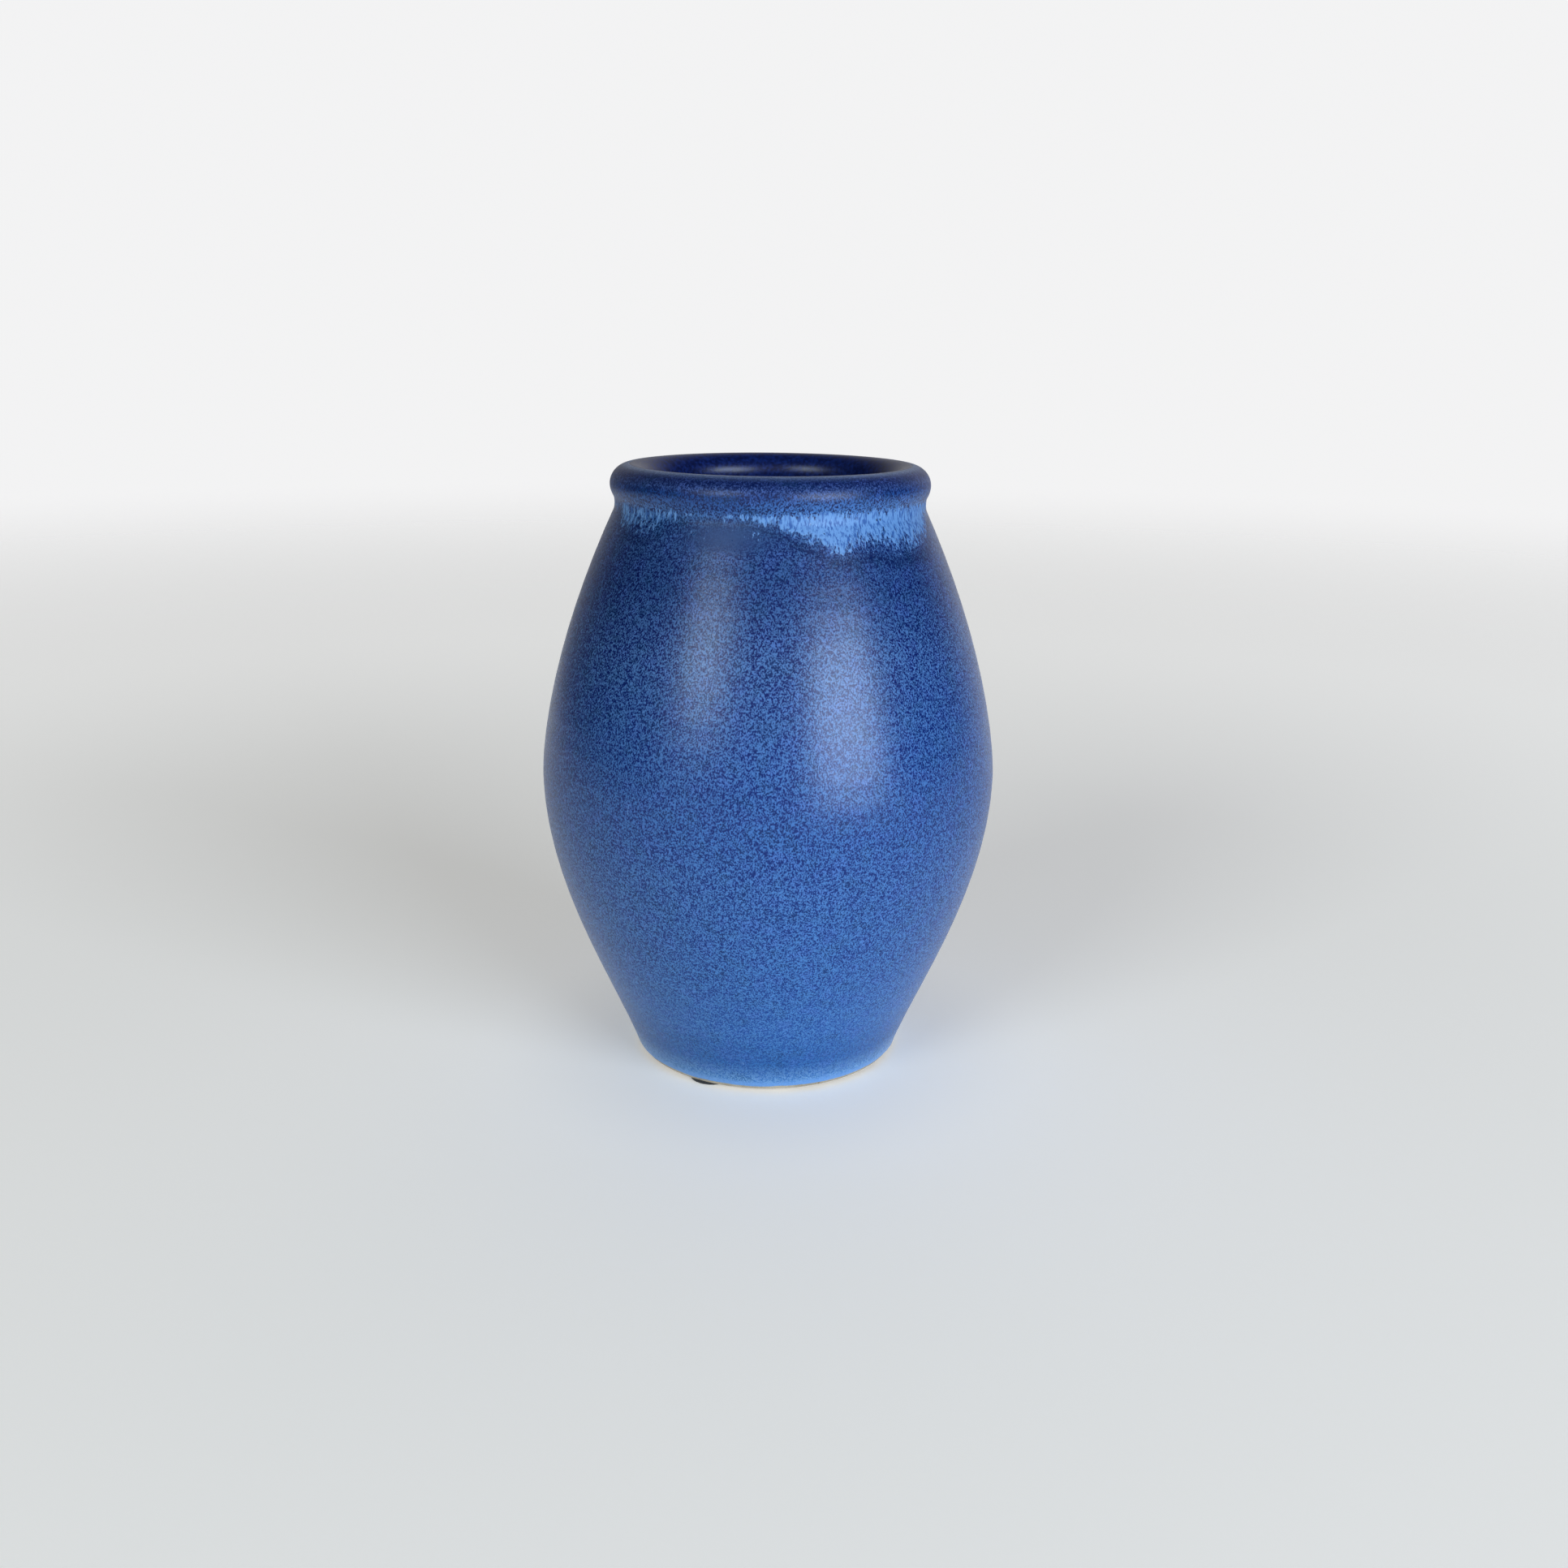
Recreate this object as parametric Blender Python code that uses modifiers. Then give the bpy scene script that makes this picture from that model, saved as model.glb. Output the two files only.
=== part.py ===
"""Stoneware vase: a turned clay body, its outer and liner glazes, and four felt pads under the base.

Metres, +Z up. The origin is on the surface that the vase stands on, under the middle of its base.
Every turned piece is a section drawn in the XZ plane, on the +X side, and turned about Z.
"""

from math import cos, pi, radians, sin

import bpy
from mathutils import Vector
from mathutils.geometry import interpolate_bezier

# Overall shape, measured on the glazed surface
HEIGHT = 0.200
BELLY_RADIUS = 0.0755
BELLY_HEIGHT = 0.099
SHOULDER_TOP_RADIUS = 0.0506
SHOULDER_TOP_HEIGHT = 0.1855
SHOULDER_SLOPE = radians(25.5)      # away from the vertical
FOOT_RADIUS = 0.0461
FOOT_HEIGHT = 0.0040                # where the side ends and the foot edge starts
FOOT_SLOPE = radians(19.7)          # away from the vertical
GLAZE_LINE_HEIGHT = 0.0023          # the outer glaze stops here, above bare clay

# How far each end of a side curve pulls along its tangent
SHOULDER_PULL = 0.0465
BELLY_PULL_UP = 0.0110
BELLY_PULL_DOWN = 0.0370
FOOT_PULL = 0.0245
GROOVE_PULL = 0.0013

# Rolled rim: a round lip whose underside runs into the groove above the shoulder
LIP_RADIUS = 0.0063
LIP_CENTRE_RADIUS = 0.0453
LIP_UNDERSIDE = radians(-33)        # where the lip ends outside, from its widest turn
LIP_THROAT = radians(215)           # where the lip ends inside

# Thicknesses
WALL = 0.0066                       # clay with both glazes
GLAZE = 0.0005
GAP = 0.0003                        # between touching solids
CLAY_FLOOR = 0.0075
INSIDE_CORNER = 0.010               # rounding between the inside wall and floor

# Bare clay edge at the foot
CLAY_EDGE = 0.0010

# Felt pads. The first is stuck on a little too far out, so its edge peeps out from under the foot.
PAD_RADIUS = 0.0070
PAD_THICKNESS = 0.0007
PAD_COUNT = 4
FIRST_PAD_BEARING = radians(-119)   # from +X, so towards the front and left
FIRST_PAD_OUT = 0.0372              # the pad's middle, from the axis
OTHER_PADS_OUT = 0.0335

# Fineness
TURN_STEPS = 40
PAD_SIDES = 32
MERGE_DISTANCE = 0.00001

CLAY_BASE_HEIGHT = PAD_THICKNESS + GAP
FLOOR_HEIGHT = CLAY_BASE_HEIGHT + CLAY_FLOOR + GAP + GLAZE
LIP_CENTRE = Vector((LIP_CENTRE_RADIUS, 0, HEIGHT - LIP_RADIUS))


def point(radius, height):
    """A point of a section."""
    return Vector((radius, 0, height))


def downward(slope):
    """The unit direction that runs down and out at a slope from the vertical."""
    return Vector((sin(slope), 0, -cos(slope)))


def arc(centre, radius, start, end, steps):
    """Points along a circular arc in the section's plane, both ends included."""
    angles = [start + (end - start) * step / steps for step in range(steps + 1)]
    return [centre + radius * Vector((cos(angle), 0, sin(angle))) for angle in angles]


def curve(start, start_pull, end_pull, end, steps):
    """Points along a cubic curve. Each pull is the vector from an end to its handle."""
    return interpolate_bezier(start, start + start_pull, end + end_pull, end, steps + 1)


def offset(line, distance):
    """The line moved to its right by a distance, with each stretch kept parallel."""
    moved = []
    for index, here in enumerate(line):
        before = line[max(index - 1, 0)]
        after = line[min(index + 1, len(line) - 1)]
        sides = []
        for start, end in ((before, here), (here, after)):
            if (end - start).length > 0:
                along = (end - start).normalized()
                sides.append(Vector((along.z, 0, -along.x)))
        mean = (sides[0] + sides[-1]).normalized()
        moved.append(here + mean * (distance / mean.dot(sides[0])))
    return moved


def down_to(line, height):
    """A line that runs down, ended at a height."""
    kept = [spot for spot in line if spot.z > height]
    last, following = kept[-1], line[len(kept)]
    return kept + [last.lerp(following, (last.z - height) / (last.z - following.z))]


def side_line():
    """The glazed outside from the top of the shoulder, over the belly, to the foot edge."""
    shoulder_top = point(SHOULDER_TOP_RADIUS, SHOULDER_TOP_HEIGHT)
    belly = point(BELLY_RADIUS, BELLY_HEIGHT)
    foot = point(FOOT_RADIUS, FOOT_HEIGHT)
    shoulder = curve(
        shoulder_top, downward(SHOULDER_SLOPE) * SHOULDER_PULL, Vector((0, 0, BELLY_PULL_UP)), belly, 7
    )
    lower_side = curve(
        belly, Vector((0, 0, -BELLY_PULL_DOWN)), -downward(-FOOT_SLOPE) * FOOT_PULL, foot, 7
    )
    return shoulder + lower_side[1:]


def outer_line():
    """The outer glaze's face: from the crest of the rim, down the outside, to the glaze line."""
    seam = GAP / 2 / LIP_RADIUS
    lip = arc(LIP_CENTRE, LIP_RADIUS, pi / 2 - seam, LIP_UNDERSIDE, 5)
    side = side_line()
    groove = curve(
        lip[-1], downward(LIP_UNDERSIDE) * GROOVE_PULL, -downward(SHOULDER_SLOPE) * GROOVE_PULL, side[0], 3
    )
    drop = FOOT_HEIGHT - GLAZE_LINE_HEIGHT
    glaze_line = side[-1] + downward(-FOOT_SLOPE) * (drop / cos(FOOT_SLOPE))
    return lip + groove[1:-1] + side + [glaze_line]


def liner_line():
    """The liner glaze's face: from the axis, over the floor, up the inside, to the crest of the rim."""
    seam = GAP / 2 / LIP_RADIUS
    lip = arc(LIP_CENTRE, LIP_RADIUS, pi / 2 + seam, LIP_THROAT, 5)
    wall = down_to(offset(side_line(), WALL), FLOOR_HEIGHT + INSIDE_CORNER)
    fall = (wall[-1] - wall[-2]).normalized()
    floor_edge = point(wall[-1].x - INSIDE_CORNER, FLOOR_HEIGHT)
    half_corner = INSIDE_CORNER / 2
    corner = curve(wall[-1], fall * half_corner, Vector((half_corner, 0, 0)), floor_edge, 3)
    down = lip + wall + corner[1:] + [point(0, FLOOR_HEIGHT)]
    return down[::-1]


def clay_line():
    """The clay's face: from the axis inside, up, over the rim, down the outside, to the axis below."""
    under_glaze = offset(liner_line() + outer_line(), GLAZE + GAP)
    edge_top = under_glaze[-1]
    edge_bottom = point(edge_top.x - CLAY_EDGE, CLAY_BASE_HEIGHT)
    rounded = curve(
        edge_top,
        downward(-FOOT_SLOPE) * CLAY_EDGE / 2,
        Vector((CLAY_EDGE / 2, 0, 0)),
        edge_bottom,
        2,
    )
    return under_glaze + rounded[1:] + [point(0, CLAY_BASE_HEIGHT)]


def make_material(name, colour, roughness):
    """A Principled material of one colour."""
    material = bpy.data.materials.new(name)
    material.use_nodes = True
    shader = material.node_tree.nodes["Principled BSDF"]
    shader.inputs["Base Color"].default_value = (*colour, 1)
    shader.inputs["Roughness"].default_value = roughness
    shader.inputs["Metallic"].default_value = 0
    material.diffuse_color = (*colour, 1)
    return material


def turned(name, line, closed, material, collection):
    """A solid turned about Z from a section line, which is closed into a loop where asked."""
    edges = [(index, index + 1) for index in range(len(line) - 1)]
    if closed:
        edges.append((len(line) - 1, 0))
    mesh = bpy.data.meshes.new(name)
    mesh.from_pydata(line, edges, [])
    mesh.materials.append(material)
    piece = bpy.data.objects.new(name, mesh)
    collection.objects.link(piece)
    screw = piece.modifiers.new("turn", "SCREW")
    screw.axis = "Z"
    screw.angle = 2 * pi
    screw.steps = TURN_STEPS
    screw.render_steps = TURN_STEPS
    screw.use_merge_vertices = True
    screw.merge_threshold = MERGE_DISTANCE
    screw.use_smooth_shade = True
    return piece


def clay_body(collection):
    """Wall, floor, rolled rim and foot, all one piece of fired clay."""
    clay = make_material("clay", (0.62, 0.56, 0.47), 0.85)
    return turned("clay_body", clay_line(), False, clay, collection)


def outer_glaze(collection):
    """Mottled blue glaze over the outside, as a thin shell with its own thickness."""
    blue = make_material("outer_glaze", (0.035, 0.12, 0.37), 0.4)
    face = outer_line()
    return turned("outer_glaze", face + offset(face, GLAZE)[::-1], True, blue, collection)


def liner_glaze(collection):
    """Navy glaze over the inside. Both ends of its section are on the axis, so the loop stays open."""
    navy = make_material("liner_glaze", (0.004, 0.010, 0.055), 0.3)
    face = liner_line()
    return turned("liner_glaze", face + offset(face, GLAZE)[::-1], False, navy, collection)


def felt_pad(number, out, bearing, material, collection):
    """One round pad, flat on the table, just clear of the clay above it."""
    bpy.ops.mesh.primitive_cylinder_add(
        vertices=PAD_SIDES,
        radius=PAD_RADIUS,
        depth=PAD_THICKNESS,
        location=(out * cos(bearing), out * sin(bearing), PAD_THICKNESS / 2),
        rotation=(0, 0, bearing),
    )
    pad = bpy.context.object
    pad.name = f"felt_pad_{number}"
    pad.data.materials.append(material)
    pad.data.shade_smooth()
    pad.data.set_sharp_from_angle(angle=radians(40))
    for owner in list(pad.users_collection):
        owner.objects.unlink(pad)
    collection.objects.link(pad)
    return pad


def felt_pads(collection):
    """Pads evenly round the base."""
    felt = make_material("felt", (0.012, 0.013, 0.015), 0.95)
    for index in range(PAD_COUNT):
        out = FIRST_PAD_OUT if index == 0 else OTHER_PADS_OUT
        bearing = FIRST_PAD_BEARING + index * 2 * pi / PAD_COUNT
        felt_pad(index + 1, out, bearing, felt, collection)


def main():
    for thing in list(bpy.data.objects):
        bpy.data.objects.remove(thing, do_unlink=True)
    collection = bpy.data.collections.new("stoneware_vase")
    bpy.context.scene.collection.children.link(collection)
    clay_body(collection)
    outer_glaze(collection)
    liner_glaze(collection)
    felt_pads(collection)


main()
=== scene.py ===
"""Looks of the stoneware vase: finely turned clay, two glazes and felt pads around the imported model.

Metres, +Z up. Bearings are angles round the vase from its front, which faces -Y, towards +X.
"""

from math import cos, pi, radians, sin, tau

import bpy
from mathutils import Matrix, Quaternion, Vector, noise
from mathutils.geometry import interpolate_bezier


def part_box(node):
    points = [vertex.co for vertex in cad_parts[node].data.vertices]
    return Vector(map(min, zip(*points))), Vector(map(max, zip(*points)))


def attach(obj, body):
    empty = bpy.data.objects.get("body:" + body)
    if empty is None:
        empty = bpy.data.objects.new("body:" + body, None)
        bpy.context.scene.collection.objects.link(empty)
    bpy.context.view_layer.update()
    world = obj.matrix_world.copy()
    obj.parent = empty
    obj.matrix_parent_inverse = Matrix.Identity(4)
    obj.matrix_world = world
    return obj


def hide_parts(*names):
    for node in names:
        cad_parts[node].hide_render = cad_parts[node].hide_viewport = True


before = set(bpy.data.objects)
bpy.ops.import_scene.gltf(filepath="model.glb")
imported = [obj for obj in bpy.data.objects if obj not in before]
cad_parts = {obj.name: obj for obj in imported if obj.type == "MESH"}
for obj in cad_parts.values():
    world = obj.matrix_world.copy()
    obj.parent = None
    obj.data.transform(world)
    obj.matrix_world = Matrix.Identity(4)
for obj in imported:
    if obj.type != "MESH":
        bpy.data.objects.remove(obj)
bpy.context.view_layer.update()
node_box = {name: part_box(name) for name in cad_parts}

# Sizes that the frame gives
HEIGHT = node_box["outer_glaze"][1].z
BELLY_RADIUS = node_box["outer_glaze"][1].x
GLAZE_LINE = node_box["outer_glaze"][0].z
CLAY_BASE = node_box["clay_body"][0].z
FLOOR_GLAZE_UNDERSIDE = node_box["liner_glaze"][0].z

# The outline's other sizes, as in the CAD model
BELLY_HEIGHT = 0.099
SHOULDER_TOP_RADIUS = 0.0506
SHOULDER_TOP = 0.1855
SHOULDER_SLOPE = radians(25.5)
FOOT_RADIUS = 0.0461
FOOT_TOP = 0.0040
FOOT_SLOPE = radians(19.7)
SHOULDER_PULL = 0.0465
BELLY_PULL_UP = 0.0110
BELLY_PULL_DOWN = 0.0370
FOOT_PULL = 0.0245
GROOVE_PULL = 0.0013
LIP_RADIUS = 0.0063
LIP_CENTRE_RADIUS = 0.0453
LIP_UNDERSIDE = radians(-33)
LIP_THROAT = radians(215)
WALL = 0.0066
GLAZE = 0.0005
INSIDE_CORNER = 0.010
CLAY_EDGE = 0.0010

LIP_CENTRE = Vector((LIP_CENTRE_RADIUS, 0, HEIGHT - LIP_RADIUS))
FLOOR_HEIGHT = FLOOR_GLAZE_UNDERSIDE + GLAZE

# Steps along each part of a section, and round the vase
LIP_STEPS = 26
GROOVE_STEPS = 10
OUTER_SIDE_STEPS = 100
INNER_SIDE_STEPS = 40
GLAZE_EDGE_STEPS = 6
THROAT_STEPS = 8
INSIDE_CORNER_STEPS = 10
INSIDE_FLOOR_STEPS = 8
CLAY_EDGE_STEPS = 8
BASE_STEPS = 6
FELT_CORNER_STEPS = 4
FOOT_STRIP = (0.35, 0.7, 1.0)       # shares of the way down the strip under the foot edge
OUTER_SIDES = 384
INNER_SIDES = 256
PAD_SIDES = 96
NO_RADIUS = 1e-7


# ---------------------------------------------------------------- sections and turned meshes

def point(radius, height):
    return Vector((radius, 0, height))


def downward(slope):
    """The unit direction that runs down and out at a slope from the vertical."""
    return Vector((sin(slope), 0, -cos(slope)))


def arc(centre, radius, start, end, steps):
    angles = [start + (end - start) * step / steps for step in range(steps + 1)]
    return [centre + radius * Vector((cos(angle), 0, sin(angle))) for angle in angles]


def curve(start, start_pull, end_pull, end, steps):
    """Points along a cubic curve. Each pull is the vector from an end to its handle."""
    return interpolate_bezier(start, start + start_pull, end + end_pull, end, steps + 1)


def straight(start, end, steps):
    """Points along a straight line, its start left out."""
    return [start.lerp(end, step / steps) for step in range(1, steps + 1)]


def offset(line, distance):
    """The line moved to its right by a distance."""
    moved = []
    for index, here in enumerate(line):
        along = (line[min(index + 1, len(line) - 1)] - line[max(index - 1, 0)]).normalized()
        moved.append(here + Vector((along.z, 0, -along.x)) * distance)
    return moved


def down_to(line, height):
    """A line that runs down, ended at a height."""
    kept = [spot for spot in line if spot.z > height]
    last = kept[-1]
    following = line[len(kept)]
    return kept + [last.lerp(following, (last.z - height) / (last.z - following.z))]


def side_line(steps):
    """The glazed outside from the top of the shoulder, over the belly, to the foot edge."""
    top = point(SHOULDER_TOP_RADIUS, SHOULDER_TOP)
    belly = point(BELLY_RADIUS, BELLY_HEIGHT)
    foot = point(FOOT_RADIUS, FOOT_TOP)
    out_of_top = downward(SHOULDER_SLOPE) * SHOULDER_PULL
    into_foot = -downward(-FOOT_SLOPE) * FOOT_PULL
    shoulder = curve(top, out_of_top, Vector((0, 0, BELLY_PULL_UP)), belly, steps)
    lower = curve(belly, Vector((0, 0, -BELLY_PULL_DOWN)), into_foot, foot, steps)
    return shoulder + lower[1:]


def outer_line():
    """The outer glaze's face, from the crest of the rim down to its rounded edge at the foot."""
    lip = arc(LIP_CENTRE, LIP_RADIUS, pi / 2, LIP_UNDERSIDE, LIP_STEPS)
    side = side_line(OUTER_SIDE_STEPS)
    out_of_lip = downward(LIP_UNDERSIDE) * GROOVE_PULL
    into_side = -downward(SHOULDER_SLOPE) * GROOVE_PULL
    groove = curve(lip[-1], out_of_lip, into_side, side[0], GROOVE_STEPS)
    length = (FOOT_TOP - GLAZE_LINE) / cos(FOOT_SLOPE) - GLAZE / 2
    strip = [side[-1] + downward(-FOOT_SLOPE) * (length * share) for share in FOOT_STRIP]
    return lip + groove[1:-1] + side + strip


def glaze_edge(line):
    """The rounded end of the outer glaze, from its face round to the clay."""
    along = (line[-1] - line[-2]).normalized()
    inward = Vector((along.z, 0, -along.x))
    half = GLAZE / 2
    centre = line[-1] + inward * half
    turns = [pi * step / GLAZE_EDGE_STEPS for step in range(1, GLAZE_EDGE_STEPS)]
    return [centre - inward * (cos(angle) * half) + along * (sin(angle) * half) for angle in turns]


def liner_line():
    """The liner glaze's face, from the crest of the rim down the inside to the axis."""
    lip = arc(LIP_CENTRE, LIP_RADIUS, pi / 2, LIP_THROAT, LIP_STEPS)
    wall = down_to(offset(side_line(INNER_SIDE_STEPS), WALL), FLOOR_HEIGHT + INSIDE_CORNER)
    out_of_lip = Vector((-sin(LIP_THROAT), 0, cos(LIP_THROAT))) * LIP_RADIUS / 2
    into_wall = (wall[0] - wall[1]).normalized() * LIP_RADIUS / 2
    throat = curve(lip[-1], out_of_lip, into_wall, wall[0], THROAT_STEPS)
    fall = (wall[-1] - wall[-2]).normalized() * INSIDE_CORNER / 2
    floor_edge = point(wall[-1].x - INSIDE_CORNER, FLOOR_HEIGHT)
    out_of_floor = Vector((INSIDE_CORNER / 2, 0, 0))
    corner = curve(wall[-1], fall, out_of_floor, floor_edge, INSIDE_CORNER_STEPS)
    inner_floor = straight(floor_edge, point(0, FLOOR_HEIGHT), INSIDE_FLOOR_STEPS)
    return lip + throat[1:-1] + wall + corner[1:] + inner_floor


def turned(name, line, sides, closed=False, relief=None):
    """A mesh turned about Z from a section that runs down its outer side.

    relief(index, bearing) gives how far out and how far up each point moves.
    """
    bearings = [tau * side / sides for side in range(sides)]
    rings = []
    points = []
    for index, spot in enumerate(line):
        if spot.x < NO_RADIUS:
            rings.append([len(points)] * sides)
            points.append((0, 0, spot.z))
            continue
        rings.append(list(range(len(points), len(points) + sides)))
        for bearing in bearings:
            out, up = relief(index, bearing) if relief else (0, 0)
            radius = spot.x + out
            points.append((radius * sin(bearing), -radius * cos(bearing), spot.z + up))
    following = rings[1:] + rings[:1] if closed else rings[1:]
    faces = []
    for upper, lower in zip(rings, following):
        for side in range(sides):
            after = (side + 1) % sides
            ring = [upper[side], lower[side], lower[after], upper[after]]
            faces.append([corner for k, corner in enumerate(ring) if corner != ring[k - 1]])
    mesh = bpy.data.meshes.new(name)
    mesh.from_pydata(points, [], faces)
    mesh.shade_smooth()
    mesh.update()
    piece = bpy.data.objects.new(name, mesh)
    bpy.context.scene.collection.objects.link(piece)
    return piece


# ---------------------------------------------------------------- shader helpers

def linear(*levels):
    """Display levels from 0 to 255 as a linear colour."""
    shares = [level / 255 for level in levels]
    return tuple(s / 12.92 if s <= 0.04045 else ((s + 0.055) / 1.055) ** 2.4 for s in shares) + (1,)


def grey(level):
    """A linear grey."""
    return (level, level, level, 1)


def add(tree, kind, feeds=(), **settings):
    """A node with its settings made and its inputs linked or set. feeds pairs inputs with values."""
    node = tree.nodes.new("ShaderNode" + kind)
    for name, value in settings.items():
        setattr(node, name, value)
    for key, value in dict(feeds).items():
        put(tree, node.inputs[key], value)
    return node


def put(tree, socket, value):
    """Links a socket to another one, or sets it to a value."""
    if isinstance(value, bpy.types.NodeSocket):
        tree.links.new(value, socket)
    else:
        socket.default_value = value


def math(tree, operation, first, second=0.0, third=0.0):
    feeds = {0: first, 1: second, 2: third}
    return add(tree, "Math", feeds, operation=operation).outputs[0]


def times(tree, first, second):
    return math(tree, "MULTIPLY", first, second)


def plus(tree, base, value, amount):
    """The base with an amount of the value added."""
    return math(tree, "MULTIPLY_ADD", value, amount, base)


def sway(tree, base, value, amount):
    """The base moved up and down by a noise value, which is 0.5 in the mean."""
    return plus(tree, base, math(tree, "SUBTRACT", value, 0.5), amount)


def remap(tree, value, low, high, to_low=0.0, to_high=1.0, smooth=True):
    """The value's place between low and high, as a number between to_low and to_high."""
    kind = "SMOOTHSTEP" if smooth else "LINEAR"
    feeds = {"Value": value, "From Min": low, "From Max": high, "To Min": to_low, "To Max": to_high}
    return add(tree, "MapRange", feeds, interpolation_type=kind).outputs["Result"]


def hump(tree, value, centre, half_width):
    """1 at a centre, falling smoothly to 0 at a half width on either side."""
    away = math(tree, "ABSOLUTE", math(tree, "SUBTRACT", value, centre))
    return remap(tree, away, half_width, 0.0)


def noise_value(tree, place, scale, detail=2.0, roughness=0.5, distortion=0.0):
    feeds = {
        "Vector": place,
        "Scale": scale,
        "Detail": detail,
        "Roughness": roughness,
        "Distortion": distortion,
    }
    return add(tree, "TexNoise", feeds).outputs["Fac"]


def blend(tree, factor, first, second):
    node = add(tree, "Mix", {0: factor}, data_type="RGBA", blend_type="MIX")
    put(tree, node.inputs[6], first)
    put(tree, node.inputs[7], second)
    return node.outputs[2]


def graph(tree, value, spots):
    """A smooth graph through (x, y) spots, both from 0 to 1."""
    node = add(tree, "FloatCurve", {"Value": value})
    line = node.mapping.curves[0]
    while len(line.points) < len(spots):
        line.points.new(0.5, 0.5)
    for dot, spot in zip(line.points, sorted(spots)):
        dot.location = spot
    node.mapping.update()
    return node.outputs["Value"]


def ramp(tree, value, stops):
    """A colour ramp through (place, display levels) stops."""
    node = add(tree, "ValToRGB", {"Fac": value})
    elements = node.color_ramp.elements
    while len(elements) < len(stops):
        elements.new(0.5)
    for element, (place, levels) in zip(elements, stops):
        element.position = place
        element.color = linear(*levels)
    return node.outputs["Color"]


def stretched(tree, place, upright):
    """The place with its heights scaled, so that a noise read there is drawn out up and down."""
    feeds = {"Vector": place, "Scale": (1, 1, upright)}
    return add(tree, "Mapping", feeds, vector_type="POINT").outputs["Vector"]


def object_place(tree):
    return add(tree, "TexCoord").outputs["Object"]


def new_material(name):
    """A new material, its tree and its Principled shader."""
    material = bpy.data.materials.new(name)
    material.use_nodes = True
    tree = material.node_tree
    return material, tree, tree.nodes["Principled BSDF"]


def add_bump(tree, shader, height, strength, distance):
    bump = add(tree, "Bump", {"Strength": strength, "Distance": distance, "Height": height})
    tree.links.new(bump.outputs["Normal"], shader.inputs["Normal"])


# ---------------------------------------------------------------- outer glaze's pattern

# Where the light run under the rim reaches: (bearing in degrees, length in mm, strength from 0 to 1)
RUNS = [
    (-180, 3.0, 0.30),
    (-150, 8.0, 0.85),
    (-125, 4.5, 0.45),
    (-95, 3.0, 0.35),
    (-70, 4.0, 0.45),
    (-54, 8.6, 0.64),
    (-42, 7.6, 0.60),
    (-31, 3.0, 0.42),
    (-14, 2.4, 0.36),
    (-6, 3.4, 0.64),
    (3, 5.4, 0.80),
    (11, 8.4, 0.96),
    (18, 11.0, 1.0),
    (25, 12.4, 1.0),
    (33, 11.6, 1.0),
    (46, 13.0, 1.0),
    (58, 12.6, 1.0),
    (66, 10.6, 0.95),
    (82, 4.5, 0.50),
    (105, 6.5, 0.80),
    (122, 9.0, 0.95),
    (140, 5.0, 0.50),
    (160, 3.0, 0.35),
    (180, 3.0, 0.30),
]
LONGEST_RUN = 0.014
RUN_TOP = 0.1891
RUN_FADE = (0.35, 1.15)             # where its cover thins out, in run lengths
RUN_START = (-0.30, 0.22)           # where it sets in, in run lengths
RUN_COVER = 0.92                    # its cover where it is full
RUN_EDGE = (-0.12, 0.14)            # softness of its ragged edge
RUN_COLOURS = ((46, 92, 156), (102, 146, 198))

# Two pinholes in the run: (bearing in degrees, height in metres)
PINHOLES = [(39.4, 0.1868), (41.0, 0.1869)]
PINHOLE_RADIUS = 0.00055
PINHOLE_COLOUR = (8, 20, 48)
RUN_RADIUS = 0.0505                 # of the vase, where the run is

# How much of the glaze is light crystal, by height as a share of the vase's
CRYSTAL_BY_HEIGHT = [
    (0.0, 0.60),
    (0.05, 0.54),
    (0.15, 0.51),
    (0.3, 0.50),
    (0.5, 0.48),
    (0.7, 0.47),
    (0.85, 0.45),
    (0.92, 0.46),
    (0.94, 0.50),
    (0.955, 0.52),
    (0.974, 0.42),
    (0.988, 0.30),
    (1.0, 0.22),
]
CRYSTAL_DRIFT = 0.18                # slow change of that share over the surface
CRYSTAL_CUT = (0.95, 0.05)          # where the grain is cut for a share of 0 and of 1
CRYSTAL_SOFTNESS = 0.47
CRYSTAL_CONTRAST = 2.7
SWELL_REMOVAL = -1.3                # how much of the grain's broad swells is taken out

# Colour between the crystals, by height as a share of the vase's: paler at the foot, and at the crest a
# pale line that is a painted reflection of the bright wall behind
DEEP_BY_HEIGHT = [
    (0.0, (66, 120, 178)),
    (0.024, (54, 112, 170)),
    (0.04, (38, 94, 156)),
    (0.06, (12, 72, 136)),
    (0.13, (10, 72, 142)),
    (0.25, (0, 49, 118)),
    (0.4, (0, 44, 112)),
    (0.5, (0, 40, 107)),
    (0.6, (0, 37, 106)),
    (0.74, (0, 27, 94)),
    (0.84, (0, 24, 86)),
    (0.9, (4, 30, 88)),
    (0.935, (6, 32, 86)),
    (0.955, (0, 28, 82)),
    (0.974, (0, 25, 80)),
    (0.981, (6, 36, 90)),
    (0.988, (4, 30, 84)),
    (0.995, (4, 26, 80)),
    # at the crest: painted reflection of the bright wall behind, seen at a grazing angle
    (1.0, (86, 112, 156)),
]

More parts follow.
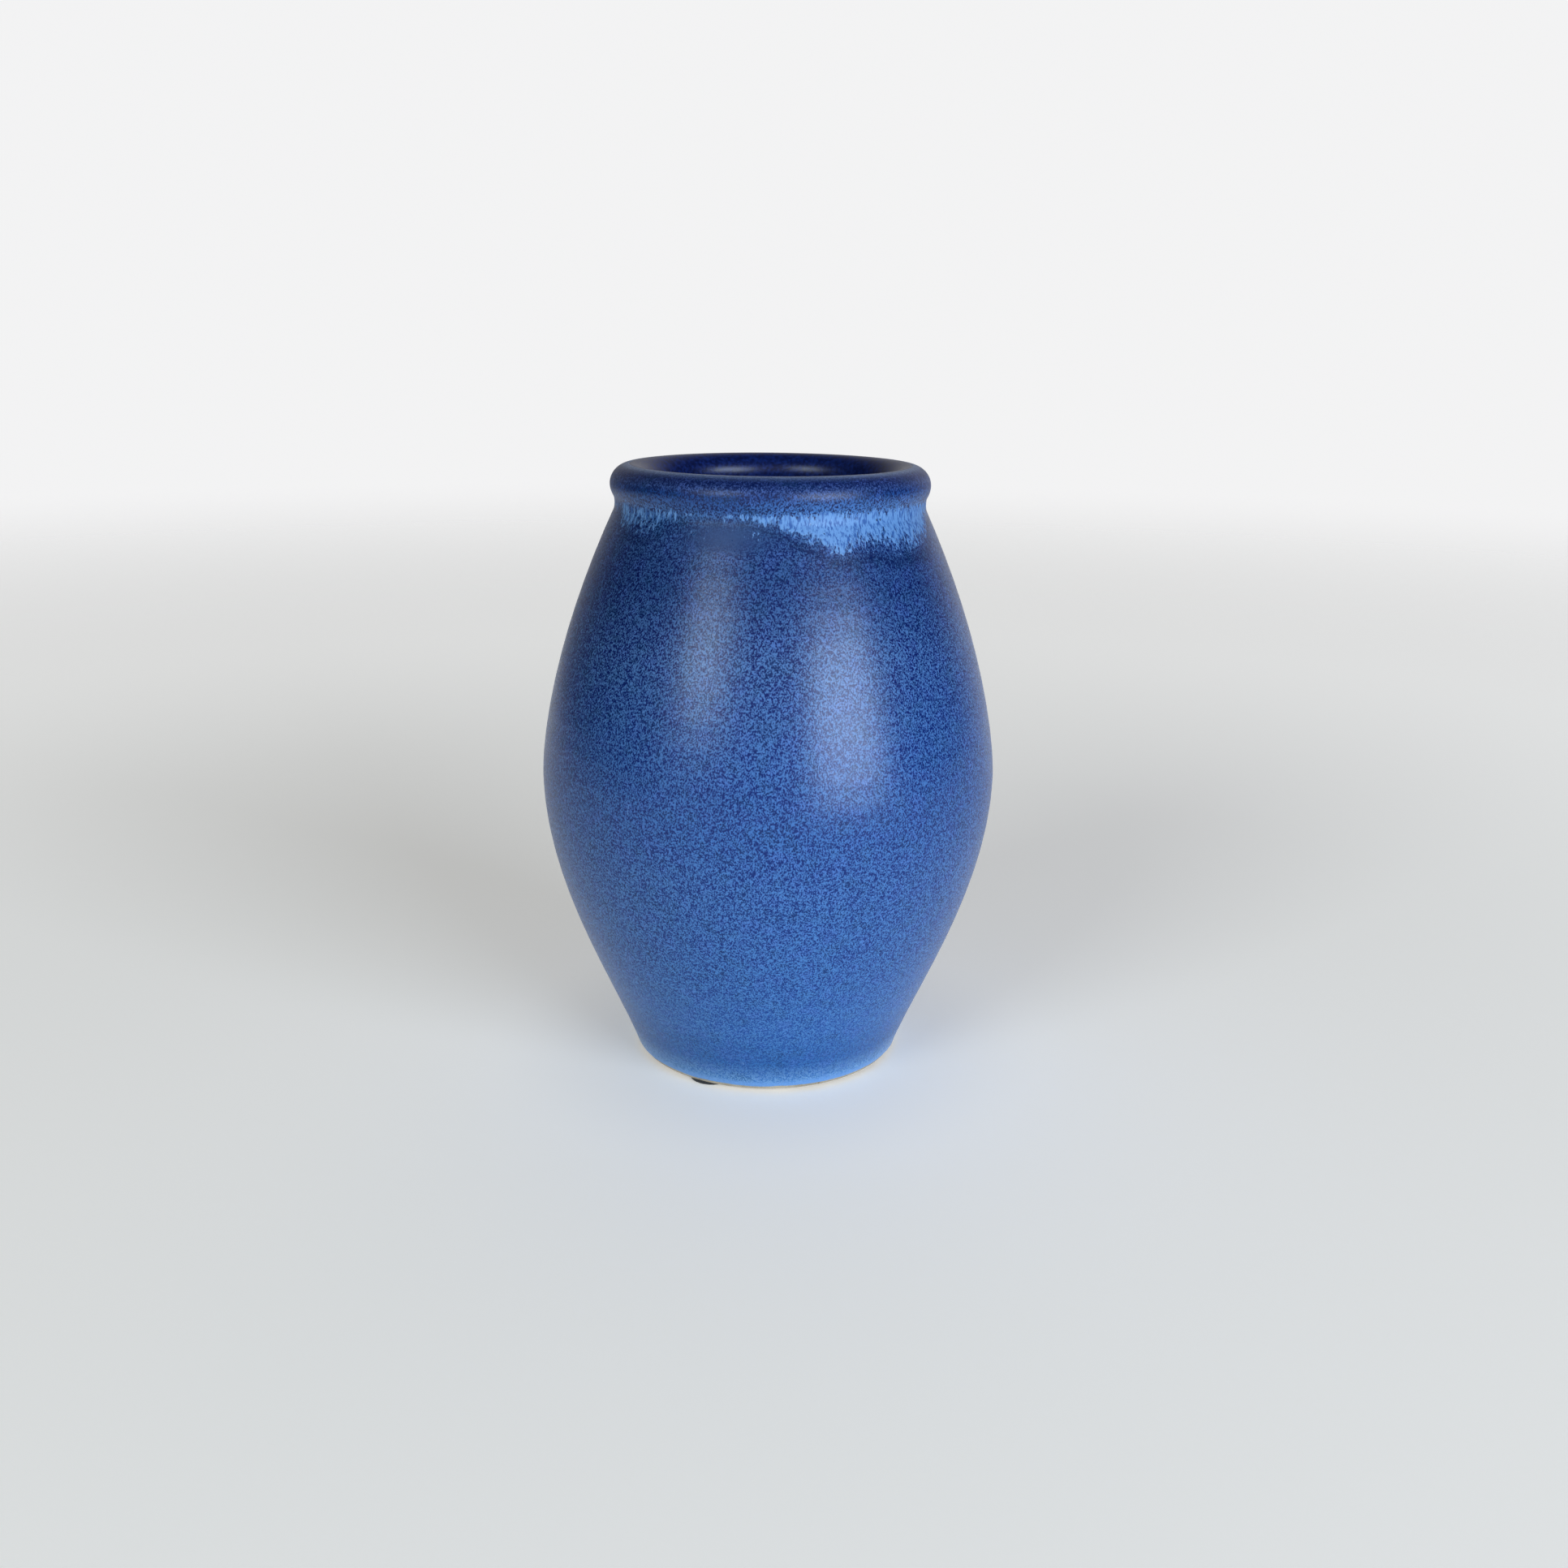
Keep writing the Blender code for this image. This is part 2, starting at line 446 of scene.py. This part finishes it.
# Colour of the crystals, in the same way
LIGHT_BY_HEIGHT = [
    (0.0, (118, 160, 204)),
    (0.024, (108, 152, 196)),
    (0.04, (82, 128, 178)),
    (0.06, (44, 105, 166)),
    (0.13, (69, 122, 180)),
    (0.25, (69, 121, 180)),
    (0.4, (73, 120, 178)),
    (0.5, (63, 111, 172)),
    (0.6, (71, 115, 173)),
    (0.74, (79, 118, 170)),
    (0.84, (58, 94, 146)),
    (0.9, (62, 96, 147)),
    (0.935, (62, 102, 152)),
    (0.955, (22, 68, 132)),
    (0.974, (12, 62, 128)),
    (0.981, (64, 90, 144)),
    (0.988, (58, 80, 134)),
    (0.995, (42, 66, 128)),
    # at the crest: painted reflection of the bright wall behind, seen at a grazing angle
    (1.0, (122, 144, 186)),
]
DEEP_GREEN_TINT = (0, 58, 88)
LIGHT_VIOLET_TINT = (84, 110, 190)
LIP_CRYSTAL_COLOUR = (86, 140, 202)

# A dull patch under the rim at the front, with fewer crystals and a painted grey sheen where the left
# window's highlight falls, as (middle, half width) of its turn and of its height
DULL_TURN = (0.461, 0.062)
DULL_HEIGHT = (0.1825, 0.0066)
DULL_SHEEN_COLOUR = (50, 80, 126)
MATT_TURN = (0.461, 0.075)
MATT_HEIGHT = (0.1860, 0.0085)

# A patch of painted shade on the left side, darkened by thinning out the crystals
LEFT_SHADE_TURN = (0.311, 0.09)
LEFT_SHADE_SHARE = (0.68, 0.42)

LIP_FADE = (0.1965, 0.1895)         # heights down the lip over which the run's effect sets in
ABOVE_RUN_FADE = 0.002
UNDER_RUN = (1.12, 0.26)            # where the glaze is thin below the run, in run lengths
UNDER_COLOUR = (10, 42, 76)
FOOT_EDGE = (0.0030, 0.0006)        # heights over the glaze line where the pale edge starts and is full
FOOT_EDGE_COLOUR = (104, 150, 204)
SATIN = (0.26, 0.34)
DULLER_LIP = (0.1860, 0.1900)       # heights up the lip over which it gets duller


def surface_place(tree):
    """A point's place, its height, that as a share of the vase's, and its bearing from 0 to 1."""
    place = object_place(tree)
    split = add(tree, "SeparateXYZ", {"Vector": place})
    x, y, z = (split.outputs[axis] for axis in "XYZ")
    bearing = math(tree, "ARCTAN2", x, times(tree, y, -1.0))
    turn = math(tree, "MULTIPLY_ADD", bearing, 1 / tau, 0.5)
    return place, z, math(tree, "DIVIDE", z, HEIGHT), turn


def turn_of(degrees):
    """A bearing in degrees, as surface_place gives it."""
    return degrees / 360 + 0.5


def mottle(tree, place, share):
    """Crystal filaments: a fine noise without its swells, cut so that a larger share is light."""
    fine = noise_value(tree, stretched(tree, place, 0.72), 2500.0, detail=0.0)
    swells = noise_value(tree, place, 1150.0, detail=0.0)
    grain = sway(tree, 0.5, fine, CRYSTAL_CONTRAST)
    grain = sway(tree, grain, swells, SWELL_REMOVAL)
    middle = remap(tree, share, 0.0, 1.0, *CRYSTAL_CUT, smooth=False)
    low = math(tree, "SUBTRACT", middle, CRYSTAL_SOFTNESS)
    high = math(tree, "ADD", middle, CRYSTAL_SOFTNESS)
    return remap(tree, grain, low, high, smooth=False)


def run_cover(tree, place, height, turn):
    """The light run: its cover, its strength at this bearing, and the place along its length."""
    lengths = [(turn_of(bearing), length / 1000 / LONGEST_RUN) for bearing, length, _ in RUNS]
    strengths = [(turn_of(bearing), strength) for bearing, _, strength in RUNS]
    length = times(tree, graph(tree, turn, lengths), LONGEST_RUN)
    strength = graph(tree, turn, strengths)
    share = math(tree, "DIVIDE", math(tree, "SUBTRACT", RUN_TOP, height), length)

    strands = noise_value(tree, stretched(tree, place, 0.2), 1050.0, roughness=0.6, distortion=0.4)
    clumps = noise_value(tree, stretched(tree, place, 0.3), 210.0, detail=1.0)
    curls = noise_value(tree, place, 900.0, detail=1.0, distortion=0.5)
    ragged = sway(tree, 0.5, strands, 1.5)
    ragged = sway(tree, ragged, clumps, 0.8)
    ragged = sway(tree, ragged, curls, 0.5)

    body = remap(tree, share, *RUN_FADE, to_low=RUN_COVER, to_high=0.0, smooth=False)
    start = remap(tree, share, *RUN_START)
    fill = times(tree, times(tree, body, strength), start)
    past = math(tree, "SUBTRACT", fill, ragged)
    return remap(tree, past, *RUN_EDGE), strength, share


def glaze_zones(tree, height, share, turn, run_share, run_strength):
    """Masks over the outer glaze: above and under the run, the dull patch with its painted sheen, and the
    painted shade at the left.
    """
    lip = times(tree, remap(tree, height, *LIP_FADE), run_strength)
    above = times(tree, lip, remap(tree, height, RUN_TOP - ABOVE_RUN_FADE, RUN_TOP))
    under = times(tree, hump(tree, run_share, *UNDER_RUN), run_strength)
    dull_and_sheen = times(tree, hump(tree, turn, *DULL_TURN), hump(tree, height, *DULL_HEIGHT))
    left_shade = times(tree, hump(tree, turn, *LEFT_SHADE_TURN), hump(tree, share, *LEFT_SHADE_SHARE))
    return above, under, dull_and_sheen, left_shade


def crystal_cover(tree, place, share, above, under, dull_and_sheen, left_shade):
    """How light the crystals make each point, from 0 to 1."""
    drift = noise_value(tree, place, 26.0)
    cover = graph(tree, share, CRYSTAL_BY_HEIGHT)
    cover = sway(tree, cover, drift, CRYSTAL_DRIFT)
    cover = plus(tree, cover, above, 0.04)
    cover = plus(tree, cover, under, -0.24)
    # fewer crystals at the left: painted shade on that side
    cover = plus(tree, cover, left_shade, -0.26)
    return times(tree, mottle(tree, place, cover), plus(tree, 1.0, dull_and_sheen, -0.75))


def base_colour(tree, place, share, crystals, above, under, dull_and_sheen):
    """Colour of the glaze without the run: navy and crystals, each tinted in soft patches."""
    tint = noise_value(tree, place, 190.0, detail=1.0)
    greenish = remap(tree, tint, 0.52, 0.70, to_high=0.28)
    violet = remap(tree, tint, 0.48, 0.30, to_high=0.22)
    deep = blend(tree, greenish, ramp(tree, share, DEEP_BY_HEIGHT), linear(*DEEP_GREEN_TINT))
    light = blend(tree, violet, ramp(tree, share, LIGHT_BY_HEIGHT), linear(*LIGHT_VIOLET_TINT))
    light = blend(tree, times(tree, above, 0.62), light, linear(*LIP_CRYSTAL_COLOUR))
    colour = blend(tree, crystals, deep, light)
    # painted grey sheen of the left window's highlight over the dull patch
    colour = blend(tree, times(tree, dull_and_sheen, 0.7), colour, linear(*DULL_SHEEN_COLOUR))
    return blend(tree, times(tree, under, 0.25), colour, linear(*UNDER_COLOUR))


def with_run(tree, place, height, turn, colour, run):
    """The colour with the streaky light run over it, its pinholes, and the pale edge at the foot."""
    streaks = stretched(tree, place, 0.28)
    tone = noise_value(tree, streaks, 1250.0, roughness=0.6, distortion=0.3)
    dark, pale = (linear(*levels) for levels in RUN_COLOURS)
    colour = blend(tree, run, colour, blend(tree, remap(tree, tone, 0.34, 0.56), dark, pale))
    for bearing, level in PINHOLES:
        across = hump(tree, turn, turn_of(bearing), PINHOLE_RADIUS / RUN_RADIUS / tau)
        hole = times(tree, across, hump(tree, height, level, PINHOLE_RADIUS))
        colour = blend(tree, hole, colour, linear(*PINHOLE_COLOUR))
    edge = remap(tree, height, *(GLAZE_LINE + rise for rise in FOOT_EDGE))
    return blend(tree, edge, colour, linear(*FOOT_EDGE_COLOUR))


def outer_roughness(tree, place, height, turn, run):
    """Satin, with fine shiny glints. The run, the lip and the patch under the rim are duller."""
    uneven = noise_value(tree, place, 900.0, roughness=0.6)
    glints = remap(tree, noise_value(tree, place, 1500.0, detail=0.0), 0.73, 0.78)
    matt = times(tree, hump(tree, turn, *MATT_TURN), hump(tree, height, *MATT_HEIGHT))
    roughness = remap(tree, uneven, 0.3, 0.7, *SATIN, smooth=False)
    roughness = plus(tree, roughness, glints, -0.16)
    roughness = plus(tree, roughness, run, 0.18)
    roughness = plus(tree, roughness, remap(tree, height, *DULLER_LIP), 0.09)
    return plus(tree, roughness, matt, 0.20)


# ---------------------------------------------------------------- materials

def outer_glaze_material():
    """Satin cobalt: navy, thick with fine lighter crystals, and a light run in the groove."""
    material, tree, shader = new_material("mottled_cobalt_glaze")
    place, height, share, turn = surface_place(tree)
    run, run_strength, run_share = run_cover(tree, place, height, turn)
    above, under, dull_and_sheen, left_shade = glaze_zones(tree, height, share, turn, run_share, run_strength)
    crystals = crystal_cover(tree, place, share, above, under, dull_and_sheen, left_shade)
    colour = base_colour(tree, place, share, crystals, above, under, dull_and_sheen)
    colour = with_run(tree, place, height, turn, colour, run)
    tree.links.new(colour, shader.inputs["Base Color"])
    tree.links.new(outer_roughness(tree, place, height, turn, run), shader.inputs["Roughness"])
    shader.inputs["IOR"].default_value = 1.45

    skin = noise_value(tree, place, 1300.0, roughness=0.6)
    relief = plus(tree, skin, crystals, 0.35)
    relief = plus(tree, relief, run, 1.6)
    add_bump(tree, shader, relief, strength=0.35, distance=0.00006)
    return material


def liner_glaze_material():
    """Satin navy, almost black, with a faint cloudiness."""
    material, tree, shader = new_material("navy_glaze")
    place = object_place(tree)
    cloud = noise_value(tree, place, 900.0, roughness=0.6, distortion=0.3)
    skin = noise_value(tree, place, 900.0)
    colour = blend(tree, remap(tree, cloud, 0.35, 0.7), linear(2, 20, 72), linear(16, 44, 112))
    tree.links.new(colour, shader.inputs["Base Color"])
    roughness = remap(tree, skin, 0.3, 0.7, to_low=0.30, to_high=0.38, smooth=False)
    tree.links.new(roughness, shader.inputs["Roughness"])
    shader.inputs["IOR"].default_value = 1.5
    add_bump(tree, shader, skin, strength=0.25, distance=0.00005)
    return material


def clay_material():
    """Bare fired stoneware: cream, sandy, with fine dark specks."""
    material, tree, shader = new_material("bare_clay")
    place = object_place(tree)
    patch = noise_value(tree, place, 90.0, detail=3.0, roughness=0.6)
    sand = noise_value(tree, place, 1800.0, roughness=0.6)
    cells = add(tree, "TexVoronoi", {"Vector": place, "Scale": 420.0}).outputs["Distance"]
    colour = blend(tree, remap(tree, patch, 0.3, 0.7), linear(160, 150, 132), linear(182, 173, 157))
    colour = blend(tree, remap(tree, sand, 0.55, 0.75), colour, linear(146, 132, 110))
    colour = blend(tree, remap(tree, cells, 0.16, 0.08), colour, linear(98, 78, 58))
    tree.links.new(colour, shader.inputs["Base Color"])
    shader.inputs["Roughness"].default_value = 0.9
    add_bump(tree, shader, sand, strength=0.6, distance=0.0001)
    return material


def felt_material():
    """Black pressed felt."""
    material, tree, shader = new_material("black_felt")
    place = object_place(tree)
    fibres = noise_value(tree, place, 2600.0, detail=3.0, roughness=0.7, distortion=1.5)
    colour = blend(tree, remap(tree, fibres, 0.35, 0.75), linear(16, 17, 20), linear(52, 54, 60))
    tree.links.new(colour, shader.inputs["Base Color"])
    shader.inputs["Roughness"].default_value = 1.0
    shader.inputs["Sheen Weight"].default_value = 0.3
    shader.inputs["Sheen Roughness"].default_value = 0.6
    add_bump(tree, shader, fibres, strength=0.8, distance=0.0001)
    return material


# ---------------------------------------------------------------- pieces

# Unevenness of the thrown and glazed outside
SWELL = 0.00012
THROWING_RING = 0.000015
RINGS_PER_METRE = 780               # in radians
RUN_THICKNESS = 0.00012
RUN_THICK_FROM = 0.1894             # the height from which the run's thickness is counted down
RUN_RISE_ABOVE = 0.002
RUN_RISE = 0.003
RUN_FALL = 0.004
LENGTH_BETWEEN_RUNS = 0.003
GLAZE_LINE_WAVER = 0.00025
GLAZE_LINE_RIPPLE = 0.0001
WAVERING_RINGS = 3                  # the rings of the face nearest the glaze line

CLAY_UNDER_GLAZE = GLAZE + 0.00001
CLAY_EDGE_ROUNDNESS = 0.6

FELT_SPREAD = 1.08                  # pressed felt spreads a little past the CAD model's discs
FELT_FUZZ = 0.00012
FELT_ROUNDNESS = 0.3                # of a dot's corners, as a share of its thickness
FELT_RIM = 0.9                      # the share of a dot's radius past which its edge is ragged


def place_piece(piece, material, slot, *nodes):
    """Gives a piece its material, lets it ride on the vase, and hides the CAD nodes it stands for."""
    piece.data.materials.append(material)
    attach(piece, "root")
    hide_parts(*nodes)


def run_length(bearing):
    """The light run's length in metres at a bearing in radians."""
    degrees = (bearing * 180 / pi + 180) % 360 - 180
    for (start, length, _), (end, next_length, _) in zip(RUNS, RUNS[1:]):
        if start <= degrees <= end:
            ease = (1 - cos(pi * (degrees - start) / (end - start))) / 2
            return (length + (next_length - length) * ease) / 1000
    return LENGTH_BETWEEN_RUNS


def run_thickness(bearing, height):
    """How far the run stands out from the glaze, in metres."""
    depth = RUN_THICK_FROM - height
    length = run_length(bearing)
    if not -RUN_RISE_ABOVE < depth < length:
        return 0.0
    rise = min(1.0, (depth + RUN_RISE_ABOVE) / RUN_RISE)
    fall = min(1.0, (length - depth) / RUN_FALL)
    return RUN_THICKNESS * rise * fall


def outer_relief(bearing, height, at_glaze_line):
    """How far out and up a point of the outside moves."""
    here = Vector((sin(bearing), cos(bearing), 0))
    swell = noise.noise(here * 1.6 + Vector((0, 0, height * 18))) * SWELL
    ring = sin(height * RINGS_PER_METRE + noise.noise(here * 1.1) * 2) * THROWING_RING
    lift = 0.0
    if at_glaze_line:
        lift = noise.noise(here * 5.0) * GLAZE_LINE_WAVER + noise.noise(here * 17.0) * GLAZE_LINE_RIPPLE
    return (swell + ring + run_thickness(bearing, height), lift)


def make_outer_glaze():
    face = outer_line()
    edge = glaze_edge(face)
    back = offset(face, GLAZE)[::-1]
    back = back[:1] + back[1:-1:4] + back[-1:]
    line = face + edge + back

    def relief(index, bearing):
        if index >= len(face) + len(edge):
            return (0, 0)
        return outer_relief(bearing, line[index].z, index >= len(face) - WAVERING_RINGS)

    piece = turned("glazed_outside", line, OUTER_SIDES, closed=True, relief=relief)
    place_piece(piece, outer_glaze_material(), "outer_glaze", "outer_glaze")


def make_liner_glaze():
    face = liner_line()[::-1]
    back = offset(face, GLAZE)[::-1]
    piece = turned("glazed_inside", face + back, INNER_SIDES)
    place_piece(piece, liner_glaze_material(), "liner_glaze", "liner_glaze")


def make_clay():
    skin = liner_line()[::-1] + outer_line()[1:]
    under = offset(skin, CLAY_UNDER_GLAZE)
    edge_top = under[-1]
    edge_bottom = point(edge_top.x - CLAY_EDGE, CLAY_BASE)
    pull = CLAY_EDGE * CLAY_EDGE_ROUNDNESS
    out_of_top = downward(-FOOT_SLOPE) * pull
    rounded = curve(edge_top, out_of_top, Vector((pull, 0, 0)), edge_bottom, CLAY_EDGE_STEPS)
    base = straight(edge_bottom, point(0, CLAY_BASE), BASE_STEPS)
    piece = turned("fired_clay", under + rounded[1:] + base, INNER_SIDES)
    place_piece(piece, clay_material(), "clay", "clay_body")


def felt_line(radius, thick):
    """The section of a felt dot, with rounded corners, from the axis above to the axis below."""
    corner = thick * FELT_ROUNDNESS
    line = [point(radius * share, thick) for share in (0, 0.3, 0.6, 0.85)]
    line += arc(point(radius - corner, thick - corner), corner, pi / 2, 0, FELT_CORNER_STEPS)
    line += arc(point(radius - corner, corner), corner, 0, -pi / 2, FELT_CORNER_STEPS)
    line += [point(radius * share, 0) for share in (0.85, 0.6, 0.3, 0)]
    return line


def felt_fuzz(line, radius, number):
    """The relief of a felt dot's ragged rim."""
    def relief(index, bearing):
        spot = line[index]
        around = Vector((sin(bearing), cos(bearing), number)) * 9
        ragged = noise.noise(around + Vector((0, 0, spot.z * 3000))) * FELT_FUZZ
        return (ragged if spot.x > radius * FELT_RIM else 0, 0)

    return relief


def make_felt_pads():
    """Pressed felt dots, rounded at the rim, that reach up to the clay."""
    felt = felt_material()
    for number in range(1, 5):
        low, high = node_box[f"felt_pad_{number}"]
        middle = (low + high) / 2
        radius = (high.x - low.x) / 2 * FELT_SPREAD
        line = felt_line(radius, CLAY_BASE - low.z)
        pad = turned(f"felt_dot_{number}", line, PAD_SIDES, relief=felt_fuzz(line, radius, number))
        pad.location = (middle.x, middle.y, low.z)
        place_piece(pad, felt, "felt", f"felt_pad_{number}")


# ---------------------------------------------------------------- studio

BACKDROP = (0.905, 0.905, 0.91, 1)

STUDIO_FLOOR_RADIUS = 2.2
NEAR = (0.045, 0.10)                # distances from the axis
FAR = (0.2, 0.8)
PAINTED_SHADE_GLOW = 0.28                    # close round the foot: painted soft shade of the vase, as a dimmer glow
FLOOR_GLOW = 0.34
PAINTED_FAR_LIGHT = 0.13                     # added to that far away: painted extra light on the far floor

DARK_WALL = 0.02
BACK_WALL = (0.68, 0.68, 0.69, 1)
FRONT_WALL = 0.46
CEILING = 0.05
BACK_CEILING = 0.30
LEFT_OF_BACK = 0.32                 # the back wall's brightness at its left, against its right

LAMP_DISTANCE = 2.6

# The camera's place, from the photograph's perspective, in heights of the vase
CAMERA_AWAY = 2.567
CAMERA_ABOVE = 1.212
CAMERA_YAW = radians(0.60)
CAMERA_PITCH = radians(16.25)
CAMERA_ROLL = radians(0.6)
SENSOR_WIDTH = 36
FOCAL_LENGTH = 36.06


def make_floor():
    """A pale round floor that glows faintly as painted fill light, dimmer close round the foot as painted
    soft shade and brighter far off as painted light, and fades into the backdrop towards its edge.
    """
    radius = STUDIO_FLOOR_RADIUS
    bpy.ops.mesh.primitive_circle_add(vertices=96, radius=radius, fill_type="NGON", location=(0, 0, 0))
    floor = bpy.context.object
    floor.name = "studio_floor"
    material, tree, shader = new_material("studio_floor")
    shader.inputs["Base Color"].default_value = linear(237, 232, 225)
    shader.inputs["Emission Color"].default_value = grey(1.0)
    shader.inputs["Roughness"].default_value = 0.7
    shader.inputs["Specular IOR Level"].default_value = 0.2
    distance = add(tree, "VectorMath", {0: object_place(tree)}, operation="LENGTH").outputs["Value"]
    # a dimmer glow round the foot is painted shade, and more glow far off is painted light
    glow = remap(tree, distance, *NEAR, PAINTED_SHADE_GLOW, FLOOR_GLOW)
    glow = math(tree, "ADD", glow, remap(tree, distance, *FAR, 0.0, PAINTED_FAR_LIGHT))
    tree.links.new(glow, shader.inputs["Emission Strength"])
    solid = remap(tree, distance, radius * 0.25, radius * 0.95, 1.0, 0.0)
    tree.links.new(solid, shader.inputs["Alpha"])
    floor.data.materials.append(material)


def make_world():
    """A pale backdrop for the camera. For the light, bright behind, dimmer in front, dark at the sides."""
    world = bpy.data.worlds.new("studio")
    world.use_nodes = True
    tree = world.node_tree
    tree.nodes.clear()
    direction = add(tree, "TexCoord").outputs["Generated"]
    split = add(tree, "SeparateXYZ", {"Vector": direction})
    x, y, z = (split.outputs[axis] for axis in "XYZ")
    back = times(tree, remap(tree, y, 0.3, 0.8), remap(tree, x, -0.9, 0.3, LEFT_OF_BACK, 1.0))
    front = remap(tree, y, -0.25, -0.8)
    walls = blend(tree, back, grey(DARK_WALL), BACK_WALL)
    walls = blend(tree, front, walls, grey(FRONT_WALL))
    ceiling = blend(tree, back, grey(CEILING), grey(BACK_CEILING))
    room = blend(tree, remap(tree, z, 0.3, 0.75), walls, ceiling)
    camera_ray = add(tree, "LightPath").outputs["Is Camera Ray"]
    seen = blend(tree, camera_ray, room, BACKDROP)
    light = add(tree, "Background", {"Color": seen, "Strength": 1.0}).outputs[0]
    add(tree, "OutputWorld", {"Surface": light})
    bpy.context.scene.world = world


def make_light(name, bearing, rise, size, power, colour):
    """A soft window that looks at the vase from a bearing and an angle above the level."""
    lamp = bpy.data.lights.new(name, "AREA")
    lamp.shape = "RECTANGLE"
    lamp.size, lamp.size_y = size
    lamp.energy = power
    lamp.color = colour
    light = bpy.data.objects.new(name, lamp)
    aim = Vector((-sin(bearing) * cos(rise), cos(bearing) * cos(rise), -sin(rise)))
    light.location = Vector((0, 0, HEIGHT / 2)) - aim * LAMP_DISTANCE
    light.rotation_euler = aim.to_track_quat("-Z", "Y").to_euler()
    light.visible_camera = False
    bpy.context.scene.collection.objects.link(light)


def make_camera():
    """The photograph's view: a short lens, close in front, looking down, a little off level."""
    lens = bpy.data.cameras.new("camera")
    lens.sensor_width = SENSOR_WIDTH
    lens.lens = FOCAL_LENGTH
    lens.clip_start = 0.01
    camera = bpy.data.objects.new("camera", lens)
    camera.location = (0, -CAMERA_AWAY * HEIGHT, CAMERA_ABOVE * HEIGHT)
    level = cos(CAMERA_PITCH)
    forward = Vector((sin(CAMERA_YAW) * level, cos(CAMERA_YAW) * level, -sin(CAMERA_PITCH)))
    rolled = Quaternion((0, 0, 1), CAMERA_ROLL)
    camera.rotation_mode = "QUATERNION"
    camera.rotation_quaternion = forward.to_track_quat("-Z", "Y") @ rolled
    bpy.context.scene.collection.objects.link(camera)
    bpy.context.scene.camera = camera


make_camera()
make_outer_glaze()
make_liner_glaze()
make_clay()
make_felt_pads()
make_floor()
make_world()
make_light(
    "window_right",
    bearing=radians(40.2),
    rise=radians(13.2),
    size=(1.60, 1.40),
    power=54.5,
    colour=(0.86, 1.0, 1.16),
)
make_light(
    "window_left",
    bearing=radians(-36.5),
    rise=radians(24.3),
    size=(1.05, 1.05),
    power=19.8,
    colour=(0.92, 1.04, 1.06),
)
bpy.context.scene.view_settings.view_transform = "Standard"
bpy.context.scene.view_settings.gamma = 0.9
